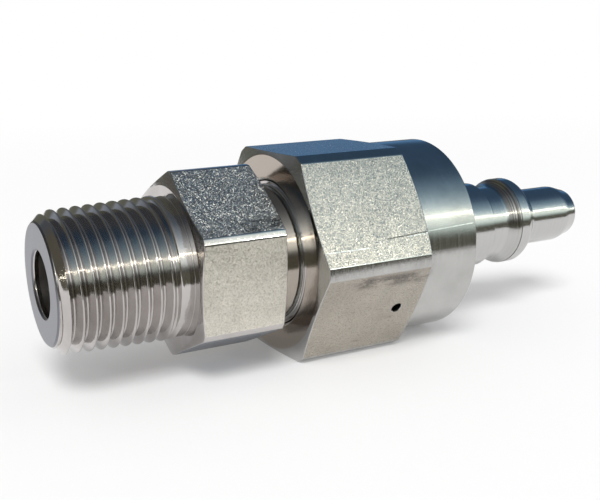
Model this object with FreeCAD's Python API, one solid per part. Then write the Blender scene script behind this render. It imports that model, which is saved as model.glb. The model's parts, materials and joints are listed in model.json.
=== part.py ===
# Quick coupling: a high-pressure swivel with a male pipe thread at one end and a plug at the other.
# All lengths are in millimetres. X runs along the swivel axis, from the threaded end to the nose of
# the plug, and +Z is up. The origin is the centre of the threaded end face. The coupling lies on the
# lowest flat of its large hexagon.
import FreeCAD, Part
import math
import os

from FreeCAD import Vector

# Inlet adapter: tapered pipe thread, small hexagon, neck and spigot
thread_pitch = 25.4 / 14
thread_taper = 1 / 32            # gain of radius along the thread
thread_crest_radius = 10.22      # at the end face
thread_depth = 1.29
thread_flank_angle = 30.0
thread_face_radius = 8.7         # where the entry chamfer starts
thread_end = 16.3                # end face to the last groove
relief_start = 17.4              # end face to the turned relief
relief_radius = 10.5
inlet_length = 19.05             # end face to the small hexagon
small_flats = 25.4
small_corner_trim = 0.265        # turned off the sharp corner of the small hexagon
small_hex_width = 13.6
small_face_step = 0.6            # flat of the hexagon to the edge of its face
small_hex_roll = 35.3            # turned from the large hexagon
hex_chamfer_angle = 11.0
inlet_bore = 9.5
inlet_bore_chamfer = 0.35
neck_gap = 3.4                   # neck showing between the two hexagons
spigot_thread_start = 4.7        # face of the body to the first turn
spigot_thread_rise = 1.6         # lets the bearings pass through the body's thread

# Guide land on the neck, with its O-ring
guide_rise = 0.2                 # spigot's thread to the land
neck_drop = 0.5                  # land to the neck
guide_start = 0.35               # face of the body to the land
guide_play = 0.15                # round the land, in the body's mouth
guide_groove_start = 2.0         # face of the body to the groove
guide_groove_width = 1.8
guide_groove_depth = 1.35

# Swivel body: large hexagon, round barrel and stepped bore
large_flats = 31.75
large_corner_trim = 0.506
large_hex_width = 19.1
large_face_step = 0.575
barrel_chamfer_angle = 18.0
barrel_step = 0.125              # flat of the large hexagon to the barrel
barrel_edge = 0.25
body_length = 28.75
mouth_chamfer = 0.4
end_wall = 2.6
spigot_tail_gap = 0.4            # end of the spigot to the step in the bore
weep_diameter = 1.7
weep_from_bearing = 1.2          # face of the first bearing to the hole's centre
weep_flat = 210.0                # direction of the flat that the hole opens on
sleeve_vent_count = 6

# Plug shaft: stub, bearing seat, shoulder, locking neck, collar and nose
flow_bore = 4.8
shaft_thread_diameter = 9.6
shaft_stub = 2.4                 # thread standing past the nut
shoulder_diameter = 14.6
shoulder_length = 11.4           # past the end of the body
shoulder_edge = 0.3
lock_neck_diameter = 12.74
lock_neck_length = 3.2
flank_length = 1.9
flank_angle = 37.0               # slope at the top of the flank, from the axis
collar_diameter = 15.1
ring_width = 0.75                # bright ring before the line on the collar
ring_drop = 0.06                 # ring below the collar
line_width = 0.16
line_depth = 0.16
collar_width = 1.55
collar_round = 0.8
front_angle = 43.0               # front face of the collar, from the axis
nose_fillet = 0.5
nose_diameter = 10.0
nose_length = 14.9               # collar's front edge to the end of the plug
lead_in_length = 2.3
lead_in_angle = 18.0
nose_round = 1.05
mouth_countersink = 0.5

# Ball bearings, two alike
bearing_bore = 10.0
bearing_outside = 19.0
bearing_width = 5.0
ball_diameter = 2.778
ball_count = 11
ball_play = 0.02                 # between ball and raceway
race_land = 0.85                 # ball circle to the edge of each race
cage_wall = 1.0
cage_back = 0.6                  # behind the balls
cage_lip = 0.9                   # in front of the ball centres
cage_play = 0.05
shield_thickness = 0.25
shield_recess = 0.4
shield_seat = 0.35               # shield's overlap on the outer race
shield_play = 0.1

# Sleeve that clamps the outer races, and nut that clamps the inner ones
sleeve_length = 3.4
sleeve_wall = 1.2
nut_diameter = 15.2
nut_width = 2.6
nut_slot_count = 4
nut_slot_width = 2.2
nut_slot_depth = 1.1

# Face seal, its seat and its spring, in a pocket of the inlet adapter
spring_seat = 0.85               # bore to the wall of the pocket
pocket_depth = 12.8              # end of the spigot to the floor of the pocket
seal_bore = 5.2
seal_slide = 0.05                # round the seal
seal_length = 4.0
seal_face_gap = 0.02
seal_groove_start = 1.0
seal_groove_width = 1.2
seal_groove_depth = 0.8
seat_flange_play = 0.85          # round the seat, in the pocket
seat_flange_width = 1.6
seat_tail_diameter = 6.6
seat_tail_length = 2.2
seat_groove_start = 0.7
seat_groove_width = 0.9
seat_groove_depth = 0.55
washer_thickness = 0.6
washer_bore = 6.0
spring_wire = 0.8
spring_play = 0.65               # round the spring, in the pocket
spring_turns = 4

# Wiper in the end wall and clearance round the shoulder
wiper_width = 1.0
wiper_inset = 0.8                # end of the body to the wiper
wiper_section = 1.18
wiper_play = 0.02
shoulder_play = 0.2

# Stations along the axis
small_hex_x = inlet_length
small_hex_end = small_hex_x + small_hex_width
body_x = small_hex_end + neck_gap
large_hex_end = body_x + large_hex_width
body_end = body_x + body_length
wall_x = body_end - end_wall
second_bearing_x = wall_x - bearing_width
first_bearing_x = second_bearing_x - bearing_width
weep_x = first_bearing_x - weep_from_bearing
spigot_end = first_bearing_x - sleeve_length
nut_x = first_bearing_x - nut_width
stub_x = nut_x - shaft_stub
seat_x = stub_x - seat_flange_width
seal_x = seat_x - seal_face_gap - seal_length
washer_x = seal_x - washer_thickness
pocket_x = spigot_end - pocket_depth
spigot_thread_x = body_x + spigot_thread_start
shoulder_end = body_end + shoulder_length
lock_neck_end = shoulder_end + lock_neck_length
ring_x = lock_neck_end + flank_length
collar_x = ring_x + ring_width
collar_end = collar_x + collar_width
nose_end = collar_end + nose_length

# Corner of a hexagon from the axis, for each unit from the axis to its flats
HEX_CORNER = 1 / math.cos(math.radians(30))

# Radii shared by mating pieces
large_corner = large_flats / 2 * HEX_CORNER - large_corner_trim
barrel_radius = large_flats / 2 - barrel_step
ball_circle = (bearing_bore + bearing_outside) / 4
ball_radius = ball_diameter / 2
raceway_radius = ball_radius + ball_play
wall_hole_radius = shoulder_diameter / 2 + shoulder_play
spigot_radius = bearing_outside / 2 + spigot_thread_rise
guide_radius = spigot_radius + guide_rise
neck_radius = guide_radius - neck_drop
mouth_radius = guide_radius + guide_play
pocket_radius = inlet_bore / 2 + spring_seat

AXIS = Vector(1, 0, 0)
ORIGIN = Vector(0, 0, 0)
FULL_TURN = 360.0

# How far a cutting shape stands past the surface that it opens
cut_margin = 0.5


def across(degrees):
    """Unit direction across the axis, measured from +Y towards +Z."""
    angle = math.radians(degrees)
    return Vector(0, math.cos(angle), math.sin(angle))


def point(x, radius):
    """Point of a turned outline."""
    return Vector(x, 0, radius)


def turned(outline):
    """Solid turned about the axis from a closed outline of (x, radius) points."""
    corners = [point(x, radius) for x, radius in outline]
    wire = Part.makePolygon(corners + [corners[0]])
    return Part.Face(wire).revolve(ORIGIN, AXIS, FULL_TURN)


def ring(x, width, inner, outer):
    """Plain ring or tube between two radii."""
    return turned([(x, inner), (x, outer), (x + width, outer), (x + width, inner)])


def o_ring(centre_x, inner, outer):
    """Round-section ring that touches both the floor and the wall of its groove."""
    middle = (inner + outer) / 2
    return Part.makeTorus(middle, (outer - inner) / 2, Vector(centre_x, 0, 0), AXIS)


def hexagon(x, width, flats, first_corner):
    """Hexagonal bar along the axis."""
    reach = flats / 2 * HEX_CORNER
    corners = []
    for index in range(6):
        corners.append(across(first_corner + 60 * index) * reach + Vector(x, 0, 0))
    wire = Part.makePolygon(corners + [corners[0]])
    return Part.Face(wire).extrude(AXIS * width)


def slope(rise, degrees):
    """Length along the axis of a chamfer that rises by a radius at an angle to the face."""
    return rise * math.tan(math.radians(degrees))


def crest_radius(x):
    return thread_crest_radius + thread_taper * x


def pipe_thread():
    """Tapered blank with one groove a pitch, which stands for the turns of the thread."""
    entry = thread_crest_radius - thread_face_radius
    blank = turned([
        (0, 0),
        (0, thread_face_radius),
        (entry, crest_radius(entry)),
        (relief_start, crest_radius(relief_start)),
        (relief_start, relief_radius),
        (inlet_length, relief_radius),
        (inlet_length, 0),
    ])
    flank = thread_depth * math.tan(math.radians(thread_flank_angle))
    root = (thread_pitch - 2 * flank) / 2
    grooves = []
    x = thread_end - flank - root / 2
    while x > entry:
        top = crest_radius(x) + thread_taper * flank
        floor = crest_radius(x) - thread_depth
        spread = flank + cut_margin * math.tan(math.radians(thread_flank_angle))
        grooves.append(turned([
            (x - root / 2 - spread, top + cut_margin),
            (x - root / 2, floor),
            (x + root / 2, floor),
            (x + root / 2 + spread, top + cut_margin),
        ]))
        x -= thread_pitch
    return blank.cut(Part.makeCompound(grooves))


def small_hexagon():
    corner = small_flats / 2 * HEX_CORNER - small_corner_trim
    face = small_flats / 2 - small_face_step
    bevel = slope(corner - face, hex_chamfer_angle)
    blank = turned([
        (small_hex_x, 0),
        (small_hex_x, face),
        (small_hex_x + bevel, corner),
        (small_hex_end - bevel, corner),
        (small_hex_end, face),
        (small_hex_end, 0),
    ])
    bar = hexagon(small_hex_x, small_hex_width, small_flats, 120 + small_hex_roll)
    return blank.common(bar)


def inlet_adapter():
    guide_x = body_x + guide_start
    groove_x = body_x + guide_groove_start
    groove_end = groove_x + guide_groove_width
    groove_floor = guide_radius - guide_groove_depth
    tail = turned([
        (small_hex_end, 0),
        (small_hex_end, neck_radius),
        (guide_x, neck_radius),
        (guide_x, guide_radius),
        (groove_x, guide_radius),
        (groove_x, groove_floor),
        (groove_end, groove_floor),
        (groove_end, guide_radius),
        (spigot_thread_x, guide_radius),
        (spigot_thread_x, spigot_radius),
        (spigot_end, spigot_radius),
        (spigot_end, 0),
    ])
    shape = small_hexagon().fuse([pipe_thread(), tail])
    bore = inlet_bore / 2
    hollow = turned([
        (0, 0),
        (0, bore + inlet_bore_chamfer),
        (inlet_bore_chamfer, bore),
        (pocket_x, bore),
        (pocket_x, pocket_radius),
        (spigot_end, pocket_radius),
        (spigot_end, 0),
    ])
    return shape.cut(hollow).removeSplitter()


def inlet_o_ring():
    centre = body_x + guide_groove_start + guide_groove_width / 2
    return o_ring(centre, guide_radius - guide_groove_depth, mouth_radius)


def large_hexagon():
    face = large_flats / 2 - large_face_step
    front = slope(large_corner - face, hex_chamfer_angle)
    back = slope(large_corner - barrel_radius, barrel_chamfer_angle)
    blank = turned([
        (body_x, 0),
        (body_x, face),
        (body_x + front, large_corner),
        (large_hex_end - back, large_corner),
        (large_hex_end, barrel_radius),
        (large_hex_end, 0),
    ])
    return blank.common(hexagon(body_x, large_hex_width, large_flats, 120))


def weep_cutter(start, end, direction, x):
    """Radial drill of the weep hole's size between two radii."""
    way = across(direction)
    foot = Vector(x, 0, 0) + way * start
    return Part.makeCylinder(weep_diameter / 2, end - start, foot, way)


def swivel_body():
    tube = turned([
        (large_hex_end, 0),
        (large_hex_end, barrel_radius),
        (body_end - barrel_edge, barrel_radius),
        (body_end, barrel_radius - barrel_edge),
        (body_end, 0),
    ])
    shape = large_hexagon().fuse(tube)
    seat = bearing_outside / 2
    thread_floor = spigot_end + spigot_tail_gap
    wiper_x = body_end - wiper_inset - wiper_width
    wiper_floor = shoulder_diameter / 2 + wiper_play + wiper_section
    hollow = turned([
        (body_x, 0),
        (body_x, mouth_radius + mouth_chamfer),
        (body_x + mouth_chamfer, mouth_radius),
        (spigot_thread_x, mouth_radius),
        (spigot_thread_x, spigot_radius),
        (thread_floor, spigot_radius),
        (thread_floor, seat),
        (wall_x, seat),
        (wall_x, wall_hole_radius),
        (wiper_x, wall_hole_radius),
        (wiper_x, wiper_floor),
        (wiper_x + wiper_width, wiper_floor),
        (wiper_x + wiper_width, wall_hole_radius),
        (body_end, wall_hole_radius),
        (body_end, 0),
    ])
    weep = weep_cutter(seat - cut_margin, large_corner, weep_flat, weep_x)
    return shape.cut([hollow, weep]).removeSplitter()


def clamp_sleeve():
    outer = bearing_outside / 2
    shape = ring(spigot_end, sleeve_length, outer - sleeve_wall, outer)
    vents = []
    for index in range(sleeve_vent_count):
        direction = weep_flat + index * FULL_TURN / sleeve_vent_count
        inner = outer - sleeve_wall - cut_margin
        vents.append(weep_cutter(inner, outer + cut_margin, direction, weep_x))
    return shape.cut(vents)


def wiper_ring():
    inner = shoulder_diameter / 2 + wiper_play
    return ring(body_end - wiper_inset - wiper_width, wiper_width, inner, inner + wiper_section)


def bend(x, radius, length, degrees, reach, rise):
    """Arc that starts level with the axis and turns through an angle over a length.

    reach is +1 or -1 along the axis, and rise is +1 outwards or -1 inwards.
    """
    angle = math.radians(degrees)
    size = length / math.sin(angle)
    stops = []
    for turn in (0, angle / 2, angle):
        along = x + reach * size * math.sin(turn)
        stops.append(point(along, radius + rise * size * (1 - math.cos(turn))))
    return Part.Arc(*stops).toShape(), stops[-1]


def plug_outline():
    """Outside of the plug shaft as joined edges, from the seal end to the nose."""
    stub = shaft_thread_diameter / 2
    journal = bearing_bore / 2
    shoulder = shoulder_diameter / 2
    lock = lock_neck_diameter / 2
    collar = collar_diameter / 2
    nose = nose_diameter / 2
    ring_radius = collar - ring_drop
    line_floor = collar - line_depth
    line_x = collar_x - line_width
    flank, flank_top = bend(lock_neck_end, lock, flank_length, flank_angle, 1, 1)
    shoulder_round, cone_start = bend(collar_end, collar, collar_round, front_angle, 1, -1)
    cone_rise = cone_start.z - nose - nose_fillet * math.tan(math.radians(front_angle / 2))
    nose_x = cone_start.x + cone_rise / math.tan(math.radians(front_angle)) + nose_fillet
    fillet, cone_end = bend(nose_x, nose, nose_fillet, front_angle, -1, 1)
    round_x = nose_end - nose_round
    lead_x = round_x - lead_in_length
    tip = nose - lead_in_length * math.tan(math.radians(lead_in_angle))
    face = tip - nose_round
    middle = nose_round * math.sqrt(0.5)
    p = point
    parts = [
        Part.makePolygon([
            p(stub_x, 0), p(stub_x, stub), p(first_bearing_x, stub),
            p(first_bearing_x, journal), p(wall_x, journal), p(wall_x, shoulder),
            p(shoulder_end - shoulder_edge, shoulder),
            p(shoulder_end, shoulder - shoulder_edge), p(shoulder_end, lock),
            p(lock_neck_end, lock),
        ]),
        flank,
        Part.makePolygon([
            flank_top, p(line_x - line_width, ring_radius), p(line_x, ring_radius),
            p(line_x, line_floor), p(collar_x, line_floor), p(collar_x, collar),
            p(collar_end, collar),
        ]),
        shoulder_round,
        Part.makePolygon([cone_start, cone_end]),
        fillet,
        Part.makePolygon([p(nose_x, nose), p(lead_x, nose), p(round_x, tip)]),
        Part.Arc(p(round_x, tip), p(round_x + middle, face + middle), p(nose_end, face)).toShape(),
        Part.makePolygon([p(nose_end, face), p(nose_end, 0), p(stub_x, 0)]),
    ]
    edges = []
    for piece in parts:
        edges.extend(piece.Edges)
    return Part.Wire(Part.sortEdges(edges)[0])


def plug_shaft():
    shape = Part.Face(plug_outline()).revolve(ORIGIN, AXIS, FULL_TURN)
    bore = flow_bore / 2
    tail = seat_tail_diameter / 2
    groove_x = stub_x + seat_groove_start
    groove_end = groove_x + seat_groove_width
    floor = tail + seat_groove_depth
    seat_pocket = turned([
        (stub_x, 0),
        (stub_x, tail),
        (groove_x, tail),
        (groove_x, floor),
        (groove_end, floor),
        (groove_end, tail),
        (stub_x + seat_tail_length, tail),
        (stub_x + seat_tail_length, bore),
        (nose_end - mouth_countersink, bore),
        (nose_end, bore + mouth_countersink),
        (nose_end, 0),
    ])
    return shape.cut(seat_pocket)


def shaft_nut():
    thread = shaft_thread_diameter / 2
    outer = nut_diameter / 2
    shape = ring(nut_x, nut_width, thread, outer)
    slots = []
    for index in range(nut_slot_count):
        slot = Part.makeBox(nut_width, nut_slot_width, nut_slot_depth * 2)
        slot.translate(Vector(nut_x, -nut_slot_width / 2, outer - nut_slot_depth))
        slot.rotate(ORIGIN, AXIS, index * FULL_TURN / nut_slot_count)
        slots.append(slot)
    return shape.cut(slots)


def ball_centre(centre_x, index):
    return Vector(centre_x, 0, 0) + across(index * FULL_TURN / ball_count) * ball_circle


def bearing_balls(centre_x):
    balls = [Part.makeSphere(ball_radius, ball_centre(centre_x, i)) for i in range(ball_count)]
    return Part.makeCompound(balls)


def bearing_cage(centre_x, back):
    """Crown cage: a ring with a pocket round each ball, its solid back to one side."""
    pocket = ball_radius + cage_play
    inner = ball_circle - cage_wall / 2
    shape = ring(centre_x - cage_lip, cage_lip + pocket + cage_back, inner, inner + cage_wall)
    for index in range(ball_count):
        shape = shape.cut(Part.makeSphere(pocket, ball_centre(centre_x, index)))
    if back < 0:
        shape = shape.mirror(Vector(centre_x, 0, 0), AXIS)
    return shape


def raceway(centre_x):
    return Part.makeTorus(ball_circle, raceway_radius, Vector(centre_x, 0, 0), AXIS)


def inner_race(x):
    body = ring(x, bearing_width, bearing_bore / 2, ball_circle - race_land)
    return body.cut(raceway(x + bearing_width / 2))


def shield_start(x, side):
    """Station of the shield on the left face (-1) or right face (+1) of a bearing at x."""
    if side < 0:
        return x + shield_recess - shield_thickness
    return x + bearing_width - shield_recess


def outer_race(x, side):
    land = ball_circle + race_land
    body = ring(x, bearing_width, land, bearing_outside / 2)
    recess_x = x if side < 0 else x + bearing_width - shield_recess
    recess = ring(recess_x, shield_recess, land - cut_margin, land + shield_seat)
    return body.cut([raceway(x + bearing_width / 2), recess])


def bearing_shield(x, side):
    inner = ball_circle - race_land + shield_play
    outer = ball_circle + race_land + shield_seat
    return ring(shield_start(x, side), shield_thickness, inner, outer)


def face_seal():
    outer = pocket_radius - seal_slide
    groove_x = seal_x + seal_groove_start
    groove_end = groove_x + seal_groove_width
    floor = outer - seal_groove_depth
    return turned([
        (seal_x, seal_bore / 2),
        (seal_x, outer),
        (groove_x, outer),
        (groove_x, floor),
        (groove_end, floor),
        (groove_end, outer),
        (seal_x + seal_length, outer),
        (seal_x + seal_length, seal_bore / 2),
    ])


def face_seal_o_ring():
    centre = seal_x + seal_groove_start + seal_groove_width / 2
    return o_ring(centre, pocket_radius - seal_slide - seal_groove_depth, pocket_radius)


def seal_seat():
    bore = flow_bore / 2
    flange = pocket_radius - seat_flange_play
    return turned([
        (seat_x, bore),
        (seat_x, flange),
        (stub_x, flange),
        (stub_x, seat_tail_diameter / 2),
        (stub_x + seat_tail_length, seat_tail_diameter / 2),
        (stub_x + seat_tail_length, bore),
    ])


def seat_o_ring():
    centre = stub_x + seat_groove_start + seat_groove_width / 2
    tail = seat_tail_diameter / 2
    return o_ring(centre, tail, tail + seat_groove_depth)


def spring_washer():
    return ring(washer_x, washer_thickness, washer_bore / 2, pocket_radius - seal_slide)


def seal_spring():
    """Compression spring between the floor of the pocket and the washer."""
    height = washer_x - pocket_x - spring_wire
    pitch = height / spring_turns
    radius = pocket_radius - spring_play - spring_wire / 2
    path = Part.makeHelix(pitch, height, radius)
    lead = math.atan2(pitch, 2 * math.pi * radius)
    way = Vector(0, math.cos(lead), math.sin(lead))
    section = Part.Wire(Part.makeCircle(spring_wire / 2, Vector(radius, 0, 0), way))
    coil = Part.Wire(path.Edges).makePipeShell([section], True, True)
    coil.rotate(ORIGIN, Vector(0, 1, 0), 90)
    coil.translate(Vector(pocket_x + spring_wire / 2, 0, 0))
    return coil


def save(name, shape):
    shape.exportStep("parts/" + name + ".step")


os.makedirs("parts", exist_ok=True)

save("inlet_adapter", inlet_adapter())
save("inlet_o_ring", inlet_o_ring())
save("swivel_body", swivel_body())
save("clamp_sleeve", clamp_sleeve())
save("wiper_ring", wiper_ring())
save("plug_shaft", plug_shaft())
save("shaft_nut", shaft_nut())
save("seal_seat", seal_seat())
save("seat_o_ring", seat_o_ring())
save("face_seal", face_seal())
save("face_seal_o_ring", face_seal_o_ring())
save("spring_washer", spring_washer())
save("seal_spring", seal_spring())

for name, x, side in (("inlet_bearing", first_bearing_x, -1), ("plug_bearing", second_bearing_x, 1)):
    middle = x + bearing_width / 2
    save(name + "_inner_race", inner_race(x))
    save(name + "_outer_race", outer_race(x, side))
    save(name + "_balls", bearing_balls(middle))
    save(name + "_cage", bearing_cage(middle, -side))
    save(name + "_shield", bearing_shield(x, side))
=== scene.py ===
import json
import math

import bpy
import numpy as np
from mathutils import Matrix, Vector


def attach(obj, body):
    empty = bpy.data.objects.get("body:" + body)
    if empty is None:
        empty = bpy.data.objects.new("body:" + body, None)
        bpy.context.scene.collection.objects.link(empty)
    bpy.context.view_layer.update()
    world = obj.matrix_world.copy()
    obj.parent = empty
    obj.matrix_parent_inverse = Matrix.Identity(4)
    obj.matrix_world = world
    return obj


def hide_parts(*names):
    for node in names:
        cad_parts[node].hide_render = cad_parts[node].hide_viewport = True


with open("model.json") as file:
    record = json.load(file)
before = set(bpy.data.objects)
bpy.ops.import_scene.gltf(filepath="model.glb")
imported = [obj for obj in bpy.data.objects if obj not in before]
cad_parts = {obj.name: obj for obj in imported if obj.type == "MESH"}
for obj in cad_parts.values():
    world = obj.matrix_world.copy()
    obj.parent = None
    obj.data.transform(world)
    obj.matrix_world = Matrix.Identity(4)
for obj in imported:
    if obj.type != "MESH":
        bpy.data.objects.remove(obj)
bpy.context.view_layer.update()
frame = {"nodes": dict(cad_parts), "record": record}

# Sizes in millimetres, as in the part's source. X is the swivel axis, and angles across it run
# from +Y towards +Z, so that 90 is up and 180 faces the front.
MM = 0.001

# Inlet adapter
pitch = 25.4 / 14
taper = 1 / 32
crest_at_end = 10.22
crest_half_width = 0.081
crest_softness = 0.05
thread_depth = 1.29
thread_face = 8.7
thread_end = 17.3
run_out = 1.2                # length over which the last turn fades
first_crest = 4.012          # station of a crest at angle 0
relief_x = 17.4
relief = 10.5
small_hex_x = 19.05
small_hex_end = 32.65
small_flats = 25.4
small_corner = 14.4
small_face = 12.1
small_flat_angle = 5.3       # direction of its first flat
hex_chamfer = 11.0
hex_edge = 0.16              # flat to the corner's turned land, softened
hex_soft = 0.12              # softening where the chamfer meets the flats
neck = 10.8
guide_x, guide = 36.4, 11.3
bore = 4.75
bore_chamfer = 0.35
groove_x, groove_end, groove_floor = 38.05, 39.85, 9.95
spigot_x, spigot_end, spigot = 40.75, 48.8, 11.1
pocket_x, pocket = 36.0, 5.6

# Swivel body
body_x = 36.05
large_hex_end = 55.15
large_flats = 31.75
large_corner = 17.825
large_face = 15.3
large_flat_angle = 30.0
barrel = 15.75
barrel_chamfer = 18.0
body_end = 64.8
mouth = 11.45
mouth_chamfer = 0.4
bearing_seat = 9.5
thread_floor_x = 49.2
wall_x = 62.2
wall_hole = 7.5
wiper_x, wiper_width, wiper_floor = 63.0, 1.0, 8.5
weep_x, weep_angle, weep_radius = 51.0, 210.0, 0.85

# Plug shaft
stub_x, stub = 47.2, 4.8
first_bearing_x, journal = 52.2, 5.0
shoulder, shoulder_end = 7.3, 76.2
lock_neck, lock_neck_end = 6.37, 79.4
flank_length, flank_angle = 1.9, 37.0
collar, collar_x, collar_end = 7.55, 82.05, 83.6
line_width, line_depth, ring_drop = 0.16, 0.16, 0.06
collar_round, front_angle, nose_fillet = 0.8, 43.0, 0.5
nose, nose_end = 5.0, 98.5
lead_in_length, lead_in_angle, nose_round = 2.3, 18.0, 1.05
flow_bore, mouth_countersink = 2.4, 0.5
seat_tail, seat_tail_end = 3.3, 49.4
seat_groove_x, seat_groove_end, seat_groove_floor = 47.9, 48.8, 3.85


# Meshes

flat_facing = 0.9998         # cosine of the angle, about 1 degree, within which a face is on a flat


def hexagon_columns(flats, corner, first_flat):
    """Angles and radii round a hexagon whose corners are turned to a bar, with softened edges."""
    half = flats / 2
    to_land = math.acos(half / corner)
    run = half * math.tan(to_land)
    sector = [(half, t) for t in np.linspace(-run + hex_edge, run - hex_edge, 23)]
    land_start = to_land + hex_edge / corner
    start = np.array([half, run - hex_edge])
    tip = np.array([half, run])
    stop = corner * np.array([math.cos(land_start), math.sin(land_start)])
    edge = []
    for t in (0.25, 0.5, 0.75, 1.0):
        edge.append(tuple((1 - t) ** 2 * start + 2 * t * (1 - t) * tip + t ** 2 * stop))
    sector += edge
    land_stop = math.radians(60) - land_start
    for angle in np.linspace(land_start, land_stop, 5)[1:]:
        sector.append((corner * math.cos(angle), corner * math.sin(angle)))
    # The next flat's edge mirrors the first one.
    turn = math.radians(60)
    for y, z in edge[2::-1]:
        sector.append((y * math.cos(turn) + z * math.sin(turn), y * math.sin(turn) - z * math.cos(turn)))
    angles, radii = [], []
    for side in range(6):
        for y, z in sector:
            angles.append(math.degrees(math.atan2(z, y)) + first_flat + 60 * side)
            radii.append(math.hypot(y, z))
    return np.array(angles), np.array(radii)


def rings_of(corners, count):
    """Rings through a closed outline of (station, radius, rounding).

    Station and radius are each a number or one value per column.
    """
    points = []
    for x, r, rounding in corners:
        points.append((np.broadcast_to(np.asarray(x, float), count),
                       np.broadcast_to(np.asarray(r, float), count), rounding))
    rings = []
    for index, (x, r, rounding) in enumerate(points):
        if not rounding:
            rings.append((x, r))
            continue
        xa, ra, _ = points[index - 1]
        xb, rb, _ = points[(index + 1) % len(points)]
        back = np.hypot(xa - x, ra - r)
        fore = np.hypot(xb - x, rb - r)
        # A rounding takes less than half of the side next to it.
        step_a = np.minimum(rounding, 0.42 * back) / back
        step_b = np.minimum(rounding, 0.42 * fore) / fore
        start = (x + (xa - x) * step_a, r + (ra - r) * step_a)
        stop = (x + (xb - x) * step_b, r + (rb - r) * step_b)
        for t in (0, 0.25, 0.5, 0.75, 1):
            a, b, c = (1 - t) ** 2, 2 * t * (1 - t), t ** 2
            rings.append((a * start[0] + b * x + c * stop[0], a * start[1] + b * r + c * stop[1]))
    return rings


def stitch(rows, columns, wrap, first=0):
    """Quads between rows of points, wound to face away from the axis as x grows."""
    faces = []
    for row in range(rows - 1):
        for column in range(columns if wrap else columns - 1):
            beside = (column + 1) % columns
            a, b = first + row * columns, first + (row + 1) * columns
            faces.append((a + column, a + beside, b + beside, b + column))
    return faces


def turned_points(rings, angles):
    """Points of rings turned about the axis, in metres."""
    turn = np.radians(angles)
    rows = [np.stack([x, r * np.cos(turn), r * np.sin(turn)], axis=1) for x, r in rings]
    return np.concatenate(rows) * MM


def piece_from(name, points, faces):
    """Object of a mesh, linked to the scene."""
    mesh = bpy.data.meshes.new(name)
    mesh.from_pydata(points.tolist(), [], faces)
    piece = bpy.data.objects.new(name, mesh)
    bpy.context.scene.collection.objects.link(piece)
    return piece


def closed_skin(name, corners, angles):
    """Skin turned from a closed outline, so that its last ring meets its first."""
    rings = rings_of(corners, len(angles))
    total = len(rings) * len(angles)
    faces = []
    for face in stitch(len(rings) + 1, len(angles), True):
        faces.append(tuple(index % total for index in face))
    return piece_from(name, turned_points(rings, angles), faces)


def settle(piece):
    """Turn a piece with its modifiers into a plain mesh."""
    evaluated = piece.evaluated_get(bpy.context.evaluated_depsgraph_get())
    mesh = bpy.data.meshes.new_from_object(evaluated)
    piece.modifiers.clear()
    old = piece.data
    piece.data = mesh
    mesh.name = piece.name
    bpy.data.meshes.remove(old)


def smooth(piece):
    """Smooth shading weighted by face, so that broad faces stay flat beside narrow rounded edges."""
    piece.data.shade_smooth()
    piece.data.set_sharp_from_angle(angle=math.radians(27))
    weighted = piece.modifiers.new("weighted", "WEIGHTED_NORMAL")
    weighted.keep_sharp = True
    weighted.mode = "FACE_AREA_WITH_ANGLE"
    weighted.weight = 80
    settle(piece)


def number_flats(piece, first_flat, start, end):
    """Write each face's flat, 1 to 6, or 0 on turned faces, as an attribute that the materials read."""
    mesh = piece.data
    count = len(mesh.polygons)
    normals = np.empty(count * 3)
    centres = np.empty(count * 3)
    mesh.polygons.foreach_get("normal", normals)
    mesh.polygons.foreach_get("center", centres)
    normals = normals.reshape(-1, 3)
    centres = centres.reshape(-1, 3) / MM
    # Between its two stations, only the hexagon reaches this far from the axis.
    outside = np.hypot(centres[:, 1], centres[:, 2]) > 12
    inside = (centres[:, 0] > start) & (centres[:, 0] < end)
    numbers = np.zeros(count)
    for side in range(6):
        angle = math.radians(first_flat + 60 * side)
        facing = normals[:, 1] * math.cos(angle) + normals[:, 2] * math.sin(angle)
        numbers[(facing > flat_facing) & inside & outside] = side + 1
    layer = mesh.attributes.new("flat_number", "FLOAT", "FACE")
    layer.data.foreach_set("value", numbers)


# Nodes

# A map range node is given a value, the two ends it comes from and the two it goes to, and eases
# from one to the other. A mix node's inputs are 0 for the share, 2 and 3 for two numbers, and
# 6 and 7 for two colours.
smoothly = {"interpolation_type": "SMOOTHSTEP"}


def add(tree, kind, inputs=(), **settings):
    """Add a node with its settings, and give each input a value or a link.

    Inputs go by place or by name. A node given as an input stands for its first output.
    """
    node = tree.nodes.new(kind)
    for name, value in settings.items():
        setattr(node, name, value)
    for key, value in (inputs.items() if isinstance(inputs, dict) else enumerate(inputs)):
        if isinstance(value, bpy.types.Node):
            value = value.outputs[0]
        if isinstance(value, bpy.types.NodeSocket):
            tree.links.new(value, node.inputs[key])
        else:
            node.inputs[key].default_value = value
    return node


def colour(code):
    """Linear colour from an sRGB hex code."""
    out = []
    for start in (1, 3, 5):
        value = int(code[start:start + 2], 16) / 255
        out.append(value / 12.92 if value <= 0.04045 else ((value + 0.055) / 1.055) ** 2.4)
    return (*out, 1.0)


def ramp_stops(node, stops):
    """Give a colour ramp its stops, each a place and a linear colour."""
    elements = node.color_ramp.elements
    while len(elements) < len(stops):
        elements.new(1.0)
    for element, (place, shade) in zip(elements, stops):
        element.position = place
        element.color = shade


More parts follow.
